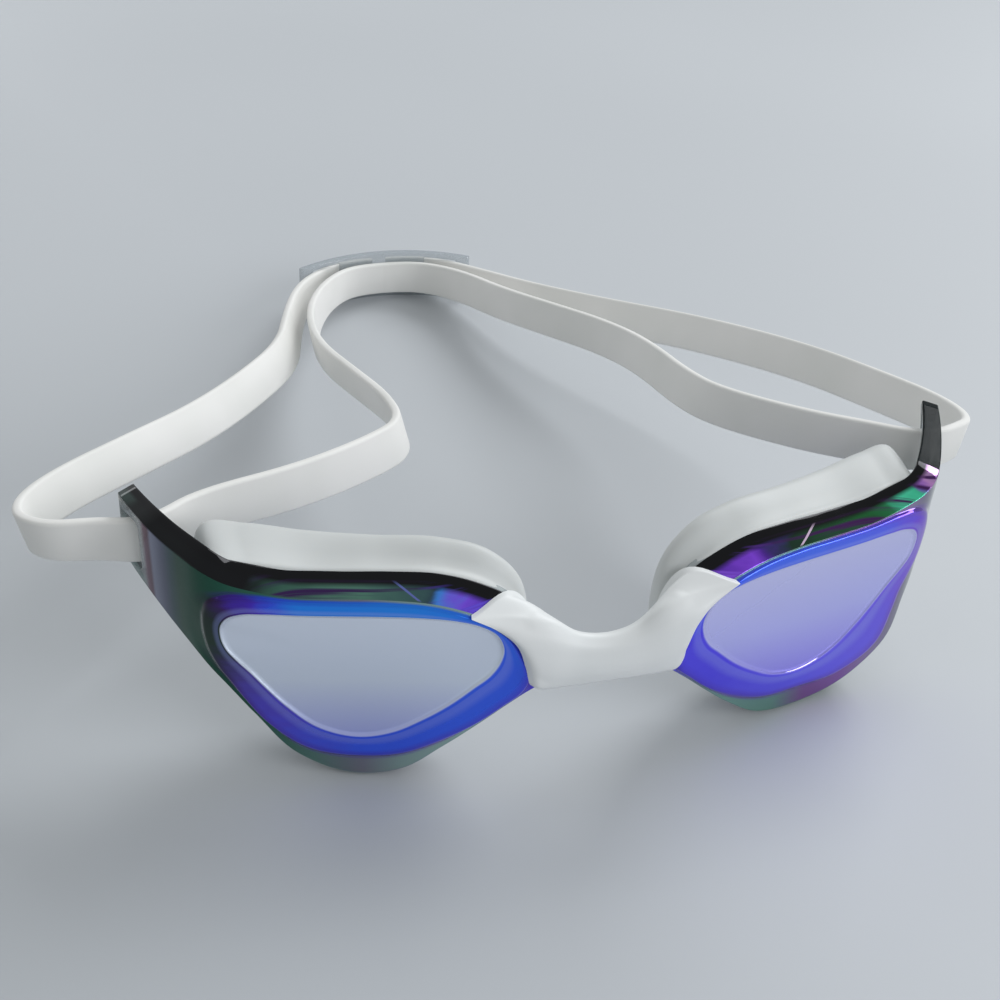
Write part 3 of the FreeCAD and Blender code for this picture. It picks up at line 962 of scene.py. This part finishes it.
    def mark_zones(self, lens: bpy.types.Object, flat_rings: list, zone: np.ndarray) -> None:
        """Writes where each corner of a face lies: round and across the shell, and on the flat drawing.

        Args:
            lens: The shell.
            flat_rings: The rings before they were bent, in millimetres.
            zone: Ring number of each ring, from the window outward and in again.
        """
        width = len(flat_rings[0])
        zones = lens.data.uv_layers.new(name="zones")
        places = lens.data.uv_layers.new(name="place")
        for face in lens.data.polygons:
            columns = [lens.data.loops[k].vertex_index % width for k in face.loop_indices]
            wraps = max(columns) - min(columns) > width / 2
            for k, column in zip(face.loop_indices, columns):
                ring = lens.data.loops[k].vertex_index // width
                turn = column + (width if wraps and column < width / 2 else 0)
                zones.data[k].uv = (turn / width, zone[ring] / LAST_RING)
                across, up, _ = flat_rings[ring][column]
                places.data[k].uv = (across / PLACE_MM, up / PLACE_MM)

    def cut_slot(self, lens: bpy.types.Object) -> bpy.types.Object:
        """Cuts the strap slot through the wing and gives each face its finish.

        Args:
            lens: The shell.

        Returns:
            The finished shell.
        """
        finishes = [finished(finish) for finish in (
            (LEFT_COAT, BARE_SHELL, DARK_END) if self.side is Side.LEFT else (RIGHT_COAT, BARE_SHELL))]
        for finish in finishes:
            lens.data.materials.append(finish)
        coated, bare, dark = range(3)
        zones = lens.data.uv_layers["zones"].data
        for face in lens.data.polygons:
            turn, ring = np.mean([zones[k].uv[:] for k in face.loop_indices], axis=0) * (1, LAST_RING)
            on_end = self.RIBBON[0] < ring < self.RIBBON[1] and self.dark_end[0] < turn < self.dark_end[1]
            face.material_index = coated
            if ring > self.COAT_END:
                face.material_index = bare
            # the left ribbon's end gets the near-black painted dark reflection
            elif on_end and self.side is Side.LEFT:
                face.material_index = dark
        ends = np.array([(self.slot_across, self.slot_up, depth) for depth in (-3.0, 6.0)])
        ends = self.layout.place(self.layout.unrolled(ends, Turn.WRAPPED), self.side)
        near, far = (Vector(end) for end in ends)
        cutter = skin("slot_cutter", self.slot_rings(near, far))
        for face in cutter.data.polygons:
            face.material_index = bare
        for finish in finishes:
            cutter.data.materials.append(finish)
        modify(lens, "BOOLEAN", object=cutter, operation="DIFFERENCE", solver="EXACT")
        settle(lens)
        bpy.data.objects.remove(cutter)
        return lens

    def slot_rings(self, near: Vector, far: Vector) -> list:
        """Two rounded rectangles, one on each side of the wing.

        Args:
            near: Middle of the slot outside the wing.
            far: Middle of the slot inside it.

        Returns:
            The two rings, in metres.
        """
        along = (far - near).normalized().cross(Vector((0, 0, 1)))
        ring = rounded_oblong(self.slot_length / 2, self.slot_height / 2, self.slot_radius, 6)
        return [np.array([middle + along * (a * MM) + Vector((0, 0, b * MM)) for a, b in ring])
                for middle in (near, far)]

    def dress(self) -> bpy.types.Object:
        """Builds the lens body and hangs it on its cup.

        Returns:
            The lens object.
        """
        lens = self.build()
        lens.data.shade_smooth()
        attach(lens, f"{self.side.word}_cup")
        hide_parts(f"{self.side.word}_lens")
        return lens


# --- gasket -----------------------------------------------------------------------------------
@dataclass(frozen=True)
class Gasket:
    """Soft eye seal: a flared ring from inside the bowl's rim to a rounded lip at the face.

    Attributes:
        layout: Where the drawing stands.
        side: Side of the nose.
        spans: Pieces between two knots of an outline.
        profile_spans: Pieces between two steps of the profile.
        lip_tilt: How much deeper the lip lies for each millimetre towards the temple.
        lip_share: How much of the fuller rim's move its lip makes.
    """

    layout: Layout
    side: Side
    spans: int = 14
    profile_spans: int = 3
    lip_tilt: float = 0.106
    lip_share: float = 0.5

    # (across, up) of the ring that leaves the lens body, and of the lip
    RIM = [(-25.9, 25.0), (-23.4, 32.4), (-17.9, 36.8), (-11.5, 38.6), (-2.0, 38.9), (8.0, 38.9),
           (16.8, 39.9), (22.6, 39.7), (24.2, 35.8), (23.3, 28.2), (18.0, 16.4), (11.8, 7.2),
           (0.6, 0.4), (-9.6, 3.6), (-18.6, 11.0), (-23.6, 16.2)]
    LIP = [(-25.2, 27.5), (-23.6, 35.0), (-18.6, 39.4), (-11.5, 40.8), (-1.2, 40.3), (9.5, 40.1),
           (18.8, 40.5), (24.9, 39.8), (26.2, 36.0), (25.4, 28.0), (20.6, 16.6), (12.3, 7.4),
           (0.8, 3.4), (-10.0, 5.6), (-20.4, 12.6), (-24.4, 20.0)]
    CENTRE = (0.0, 23.0)
    # how far the left rim moves out with its fuller lens body, by knot
    FULLER = {9: (0.5, -0.4), 10: (2.9, -2.6), 11: (3.6, -2.4), 12: (1.6, 0.1)}
    # depth behind the window, share of the way from rim to lip, and how far the wall is drawn in
    PROFILE = [(4.2, 0.0, 1.6), (4.7, 0.0, 0.4), (5.0, 0.0, -0.1), (6.2, 0.04, -0.12),
               (7.6, 0.28, -0.05), (9.2, 0.62, -0.1), (10.8, 0.90, -0.1), (11.8, 1.0, 0.0),
               (12.5, 1.0, 0.25), (13.0, 1.0, 0.8), (13.1, 1.0, 1.4), (12.9, 1.0, 2.0),
               (12.2, 1.0, 2.5), (10.0, 0.8, 2.8), (7.5, 0.4, 3.1), (5.0, 0.0, 3.5),
               (3.4, 0.0, 3.6), (3.3, 0.0, 2.4)]

    def build(self) -> bpy.types.Object:
        """Makes the ring.

        Returns:
            The gasket object.
        """
        rim_knots, lip_knots = np.array(self.RIM), np.array(self.LIP)
        if self.side is Side.LEFT:
            for index, step in self.FULLER.items():
                rim_knots[index] += step
                lip_knots[index] += np.array(step) * self.lip_share
        rim, lip = (smooth_curve(outline, self.spans) for outline in (rim_knots, lip_knots))
        loops = []
        for depth, share, drawn in self.PROFILE:
            outline = grown(rim * (1 - share) + lip * share, self.CENTRE, -drawn)
            leaned = depth + share * self.lip_tilt * outline[:, 0]
            loops.append(np.column_stack([outline, leaned]))
        section = smooth_curve(np.stack(loops).reshape(len(loops), -1), self.profile_spans)
        section = section.reshape(-1, len(rim), 3)
        rings = [self.layout.place(self.layout.unrolled(ring, Turn.STRAIGHT), self.side) for ring in section]
        return skin(f"{self.side.word}_eye_seal", rings, closed_tube=True)

    def dress(self) -> bpy.types.Object:
        """Builds the seal, gives it its rubber and hangs it on its cup.

        Returns:
            The gasket object.
        """
        seal = self.build()
        seal.data.materials.append(finished(SEAL_RUBBER))
        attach(seal, f"{self.side.word}_cup")
        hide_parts(f"{self.side.word}_gasket")
        return seal


# --- nose bridge ------------------------------------------------------------------------------
@dataclass(frozen=True)
class BridgeHalf:
    """Half of the nose bridge, from the nose plane to the blade that wraps the lens's nose corner.

    Each section is a loop of (x, y, z): bottom front, up the front, over the top and down the back.

    Attributes:
        layout: Where the drawing stands.
        side: Side of the nose.
        spans: Pieces between two sections, and between two points of a section.
    """

    layout: Layout
    side: Side
    spans: int = 8

    SECTIONS = [
        [(0, -6.0, 20.8), (0, -6.9, 22.5), (0, -7.0, 26.2), (0, -6.0, 28.5), (0, -4.9, 29.2),
         (0, -3.7, 28.8), (0, -3.3, 24.8), (0, -4.1, 21.0)],
        [(4.5, -6.1, 20.9), (4.5, -7.0, 22.8), (4.5, -7.0, 26.8), (4.5, -5.9, 29.2), (4.5, -4.5, 30.0),
         (4.5, -3.3, 29.5), (4.5, -2.9, 25.0), (4.5, -3.9, 21.1)],
        [(9.2, -6.4, 21.3), (9.8, -7.2, 23.8), (10.1, -7.1, 28.0), (10.0, -5.9, 31.4), (9.8, -4.1, 33.2),
         (8.8, -2.2, 32.4), (8.4, -1.6, 27.0), (8.6, -2.9, 21.8)],
        [(11.3, -6.3, 21.6), (12.3, -6.6, 25.2), (13.7, -6.2, 29.4), (15.8, -5.1, 32.4), (17.0, -3.3, 34.2),
         (12.2, -0.6, 34.4), (9.6, -0.6, 30.0), (9.4, -2.0, 22.8)],
        [(12.2, -5.6, 21.9), (13.1, -5.5, 25.3), (14.7, -5.1, 29.8), (17.6, -4.4, 32.6), (21.4, -3.5, 34.6),
         (14.0, 0.2, 35.1), (10.8, 0.2, 30.6), (10.4, -1.2, 23.8)],
    ]
    # from the blade's outer face to its edge on the lens, and the section past which its top is sharp
    EDGE_DROP = (-0.3, 1.3, -0.1)
    SHARP_FROM = 2.4
    # points where the half would bend from, where it holds the lens, and to, by the nose plane; dress()
    # places them but nothing uses them
    BEND_FROM, BEND_TO = (11.5, -4.0, 27.0), (4.0, -4.0, 27.0)

    def build(self) -> bpy.types.Object:
        """Makes the half as one skin through its sections.

        Returns:
            The bridge half.
        """
        knots = np.array(self.SECTIONS, float)
        # the other half's first section comes before the middle, so that the two halves meet smoothly
        knots = np.concatenate([[knots[1] * (-1, 1, 1)], knots])
        path = smooth_curve(knots.reshape(len(knots), -1), self.spans, closed=False)[self.spans:]
        sharp = self.SHARP_FROM * self.spans
        loops = [smooth_curve(loop, self.spans, True, (4,) if row > sharp else ())
                 for row, loop in enumerate(path.reshape(len(path), -1, 3))]
        loops += [loops[-1] + np.array(self.EDGE_DROP) * share for share in (0.5, 1.0)]
        loops, _ = eased(loops, {len(path) - 1: 0.35})
        half = skin(f"{self.side.word}_bridge_half", [self.layout.place(loop, self.side) for loop in loops])
        half.data.set_sharp_from_angle(angle=math.radians(50))
        return half

    def dress(self) -> bpy.types.Object:
        """Builds the half, gives it its rubber and bakes its placing into its mesh.

        Returns:
            The bridge half.
        """
        half = self.build()
        half.data.materials.append(finished(BRIDGE_RUBBER))
        start, end = self.layout.place(np.array([self.BEND_FROM, self.BEND_TO]), self.side)
        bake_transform(half)
        if self.side is Side.LEFT:
            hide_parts("nose_bridge")
        return half


# --- head band --------------------------------------------------------------------------------
@dataclass(frozen=True)
class Band:
    """One half of the head band: a flat strip from the rear clip, through the temple slot and back.

    Attributes:
        layout: Where the drawing stands.
        side: Side of the nose.
        route: Corners of its route in plan, (x, y) in millimetres.
        lean: How far it leans, as (corner of the route, degrees).
        width: Width of the strip.
        thick: Thickness of the strip.
        edge_radius: Radius of the strip's edges.
        front_y: y at which its lower edge is at front_z.
        front_z: Height of its lower edge there.
        fall: How much it falls for each millimetre towards the back.
    """

    layout: Layout
    side: Side
    route: tuple
    lean: tuple
    width: float = 8.0
    thick: float = 1.6
    edge_radius: float = 0.55
    front_y: float = 18.0
    front_z: float = 33.6
    fall: float = 0.2215

    # points where the band would bend from, by the temple's slot, and to, half way to the clip; dress()
    # places them but nothing uses them
    BEND_FROM, BEND_TO = (66.0, 32.0, 33.0), (30.0, 120.0, 20.0)

    def section(self) -> np.ndarray:
        """The strip's section: (across its thickness, up its width), with rounded edges.

        Returns:
            Points round the section, in millimetres.
        """
        return np.array(rounded_oblong(self.thick / 2, self.width / 2, self.edge_radius, 4))

    def centre_line(self, steps: int = 8) -> tuple:
        """The route as one smooth line that cuts inside each corner, as a springy strip does.

        Args:
            steps: Points for each corner of the route.

        Returns:
            The points in plan, and the place of each along the route, counted in corners.
        """
        route = np.array(self.route, float)
        joints = (route[:-1] + route[1:]) / 2
        joints[0], joints[-1] = route[0], route[-1]
        share = np.linspace(0, 1, steps, endpoint=False)[:, None]
        spans = [(1 - share) ** 2 * a + 2 * share * (1 - share) * b + share**2 * c
                 for a, b, c in zip(joints, route[1:-1], joints[1:])]
        turns = [index + 0.5 + share[:, 0] for index in range(len(spans))]
        return np.concatenate(spans + [route[-1:]]), np.concatenate(turns + [[len(route) - 1.0]])

    def build(self) -> bpy.types.Object:
        """Sweeps the section along the route, at its falling height and with its lean.

        Returns:
            The band half.
        """
        line, turns = self.centre_line()
        lean = np.radians(np.interp(turns, *zip(*self.lean)))
        along = np.gradient(line, axis=0)
        along /= np.linalg.norm(along, axis=1)[:, None]
        rings = []
        for (x, y), (ahead_x, ahead_y), tilt in zip(line, along, lean):
            aside = np.array([-ahead_y, ahead_x, 0.0])
            middle = np.array([x, y, self.front_z - self.fall * (y - self.front_y) + self.width / 2])
            across = aside * math.cos(tilt) - np.array([0, 0, math.sin(tilt)])
            up = aside * math.sin(tilt) + np.array([0, 0, math.cos(tilt)])
            rings.append(self.layout.place([middle + across * a + up * b for a, b in self.section()]))
        band = skin(f"{self.side.word}_head_band", rings)
        band.data.set_sharp_from_angle(angle=math.radians(60))
        return band

    def dress(self) -> bpy.types.Object:
        """Builds the band, gives it its rubber and bakes its placing into its mesh.

        Returns:
            The band half.
        """
        band = self.build()
        band.data.materials.append(finished(BAND_RUBBER))
        start, end = self.layout.place(np.array([self.BEND_FROM, self.BEND_TO]), self.side)
        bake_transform(band)
        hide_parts(f"{self.side.word}_strap")
        return band


# each half goes from the clip's front face forward to the temple slot, out through it, and back round
# the outside to a tail behind the clip
LEFT_ROUTE = ((-2, 161.6), (3.4, 161.6), (9.6, 157.6), (15.4, 148), (20.3, 131.8), (27.7, 115.7),
              (34.5, 100.8), (38.2, 85.7), (38.6, 63), (41.6, 52), (51.1, 37.5), (58.8, 29.6), (64, 23.9),
              (68.1, 22.9), (72.4, 24.4), (77.4, 27.2), (78.0, 38.4), (74.4, 53), (68.7, 72.9), (56.2, 96.1),
              (39.9, 116.2), (27.5, 134), (20.4, 148), (13.6, 160.4), (6.6, 166.8), (-0.2, 167.2))
RIGHT_ROUTE = ((-2, 161.6), (-7.6, 161.6), (-14, 156.6), (-20.6, 143.6), (-25.6, 125), (-26.6, 104),
               (-22.4, 84), (-19, 68), (-19, 54), (-27, 46), (-40.8, 36.9), (-57.4, 30.8), (-64, 23.9),
               (-68.1, 22.9), (-73.2, 25.1), (-81, 26), (-85.6, 32.5), (-80.4, 44), (-66.1, 58.9),
               (-54.7, 70.6), (-43.6, 87), (-33.4, 106), (-29.4, 128), (-24.6, 148), (-17.6, 160.4),
               (-10.6, 166.8), (-3.8, 167.2))
LEFT_LEAN = ((0, 0), (3, 8), (8, 15), (11, 8), (13, 0), (14.5, -3), (16, -16), (18, -29), (20, -28),
             (23, -5), (25, 0))
RIGHT_LEAN = ((0, 0), (3, -8), (8, -15), (11, -8), (13, 0), (16, 12), (18, 30), (21, 28), (24, 5), (26, 0))


# --- rear clip --------------------------------------------------------------------------------
@dataclass(frozen=True)
class RearClip:
    """Clear curved plate with a window at each end, which the band's tails pass through.

    Attributes:
        layout: Where the drawing stands.
        middle: Centre of the plate's curve in plan, in millimetres.
        radius: Radius of its inner face.
        thick: Thickness of the plate.
        height: Height of the plate.
        rail: Height of the rails over and under its windows.
        half_angle: Half the angle that it spans.
        window_at: Angle from its middle to a window's middle.
        window_half: Half the angle of a window.
        edge_radius: Radius of its edges.
        steps: Pieces along the whole plate.
    """

    layout: Layout
    middle: tuple = (-2.0, 125.0)
    radius: float = 38.0
    thick: float = 1.8
    height: float = 11.8
    rail: float = 1.3
    half_angle: float = math.radians(32.65)
    window_at: float = math.radians(21.95)
    window_half: float = math.radians(6.03)
    edge_radius: float = 0.35
    steps: int = 44

    def build(self) -> bpy.types.Object:
        """Makes the plate as a bent sheet with two holes, thickened and with rounded edges.

        Returns:
            The clip object.
        """
        edges = {-self.half_angle, self.half_angle}
        edges |= {side * self.window_at + end * self.window_half for side in (-1, 1) for end in (-1, 1)}
        marks = sorted(edges)
        angles = [marks[0]]
        for low, high in zip(marks, marks[1:]):
            pieces = max(1, round((high - low) / (2 * self.half_angle) * self.steps))
            angles += [low + (high - low) * (k + 1) / pieces for k in range(pieces)]
        levels = [0.0, self.rail, self.height / 2, self.height - self.rail, self.height]
        sheet = bmesh.new()
        rows = [[sheet.verts.new(self.point(angle, level)) for level in levels] for angle in angles]
        for i, (low, high) in enumerate(zip(angles, angles[1:])):
            hole = abs(abs((low + high) / 2) - self.window_at) < self.window_half
            for j in range(len(levels) - 1):
                if hole and 0 < j < len(levels) - 2:
                    continue
                sheet.faces.new((rows[i][j], rows[i + 1][j], rows[i + 1][j + 1], rows[i][j + 1]))
        mesh = bpy.data.meshes.new("rear_clip_plate")
        sheet.to_mesh(mesh)
        sheet.free()
        clip = bpy.data.objects.new("rear_clip_plate", mesh)
        bpy.context.scene.collection.objects.link(clip)
        modify(clip, "SOLIDIFY", thickness=self.thick * MM, offset=0.0)
        modify(clip, "BEVEL", width=self.edge_radius * MM, segments=3, limit_method="ANGLE",
               angle_limit=math.radians(50))
        settle(clip)
        clip.data.shade_smooth()
        clip.data.set_sharp_from_angle(angle=math.radians(40))
        return clip

    def point(self, angle: float, level: float) -> tuple:
        """A point of the plate's middle sheet.

        Args:
            angle: Angle from the plate's middle, in radians.
            level: Height above the table, in millimetres.

        Returns:
            The point, in metres.
        """
        reach = self.radius + self.thick / 2
        spot = (self.middle[0] + reach * math.sin(angle), self.middle[1] + reach * math.cos(angle), level)
        return tuple(self.layout.place(np.array(spot)))

    def dress(self) -> bpy.types.Object:
        """Builds the clip in clear plastic.

        Returns:
            The clip object.
        """
        clip = self.build()
        clip.data.materials.append(finished(CLIP_PLASTIC))
        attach(clip, "bridge_and_strap")
        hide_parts("back_clip")
        return clip


# --- studio -----------------------------------------------------------------------------------
@dataclass(frozen=True)
class Studio:
    """Pale table, soft lights and the camera.

    Attributes:
        layout: Where the drawing stands.
        floor_half: Half the table's size, in metres.
        room_light: Strength of the light from the room.
        camera_at: Where the camera stands on the drawing, in millimetres.
        camera_right: Direction to its right.
        camera_up: Direction up from it.
        lens_mm: Focal length, in millimetres.
        aim: Where the lamps point, in metres.
    """

    layout: Layout
    floor_half: float = 1.6
    room_light: float = 0.48
    camera_at: tuple = (-65.872, -159.573, 172.682)
    camera_right: tuple = (0.965, -0.2574, 0.0500)
    camera_up: tuple = (0.1108, 0.5732, 0.8118)
    lens_mm: float = 51.98
    aim: tuple = (0.0, 0.0, 0.02)

    # name, middle and size in metres, power in watts, and colour
    LAMPS = (("key_window", (1.6, 1.1, 1.7), (1.7, 1.3), 36.0, "#fbfdff"),
             ("side_fill", (-1.5, -0.3, 0.9), (1.2, 1.0), 1.2, "#fff8f0"),
             ("front_fill", (1.2, -1.4, 0.9), (1.2, 0.9), 17.0, "#fbfcff"),
             ("rear_fill", (-0.7, 1.6, 0.9), (1.4, 0.8), 6.0, "#fafcff"))

    def build(self) -> None:
        """Makes the table, the lights and the camera."""
        mesh = bpy.data.meshes.new("table_top")
        far = self.floor_half
        mesh.from_pydata([(-far, -far, 0), (far, -far, 0), (far, far, 0), (-far, far, 0)], [], [(0, 1, 2, 3)])
        table = bpy.data.objects.new("table_top", mesh)
        bpy.context.scene.collection.objects.link(table)
        table.data.materials.append(finished(TABLE))
        for lamp in self.LAMPS:
            self.lamp(*lamp)
        world = bpy.data.worlds.new("soft_room")
        world.use_nodes = True
        sky = world.node_tree.nodes["Background"]
        sky.inputs["Color"].default_value = linear("#e8ecee")
        sky.inputs["Strength"].default_value = self.room_light
        bpy.context.scene.world = world
        self.camera()
        bpy.context.scene.view_settings.view_transform = "Standard"

    def lamp(self, name: str, at: tuple, size: tuple, power: float, colour: str) -> None:
        """Adds one soft panel, turned towards the goggles.

        Args:
            name: Name of the lamp.
            at: Its middle, in metres.
            size: Its width and height, in metres.
            power: Its power, in watts.
            colour: Its colour, as hex.
        """
        light = bpy.data.lights.new(name, "AREA")
        light.shape = "RECTANGLE"
        light.size, light.size_y = size
        light.energy = power
        light.color = linear(colour)[:3]
        lamp = bpy.data.objects.new(name, light)
        lamp.location = at
        lamp.rotation_euler = (Vector(self.aim) - Vector(at)).to_track_quat("-Z", "Y").to_euler()
        bpy.context.scene.collection.objects.link(lamp)

    def camera(self) -> None:
        """Adds the camera, which looks down at the goggles from in front, on the wearer's right."""
        right, up = Vector(self.camera_right).normalized(), Vector(self.camera_up)
        back = right.cross(up).normalized()
        up = back.cross(right)
        eye = bpy.data.cameras.new("camera")
        eye.lens = self.lens_mm
        eye.sensor_width = 36.0
        eye.clip_start = 0.01
        camera = bpy.data.objects.new("camera", eye)
        turn = Matrix((right, up, back)).transposed().to_4x4()
        camera.matrix_world = Matrix.Translation(self.layout.place(np.array(self.camera_at))) @ turn
        bpy.context.scene.collection.objects.link(camera)
        bpy.context.scene.camera = camera


def main() -> None:
    """Builds the goggles piece by piece, then the studio."""
    logging.basicConfig(level=logging.INFO, format="%(name)s: %(message)s")
    layout = Layout.from_frame()
    parts = [LensBody(layout, side) for side in Side]
    parts += [Gasket(layout, side) for side in Side]
    parts += [BridgeHalf(layout, side) for side in Side]
    parts.append(Band(layout, Side.LEFT, LEFT_ROUTE, LEFT_LEAN))
    parts.append(Band(layout, Side.RIGHT, RIGHT_ROUTE, RIGHT_LEAN))
    parts.append(RearClip(layout))
    for part in parts:
        piece = part.dress()
        LOG.info("%s: %d faces", piece.name, len(piece.data.polygons))
    Studio(layout).build()


if __name__ == "__main__":
    main()
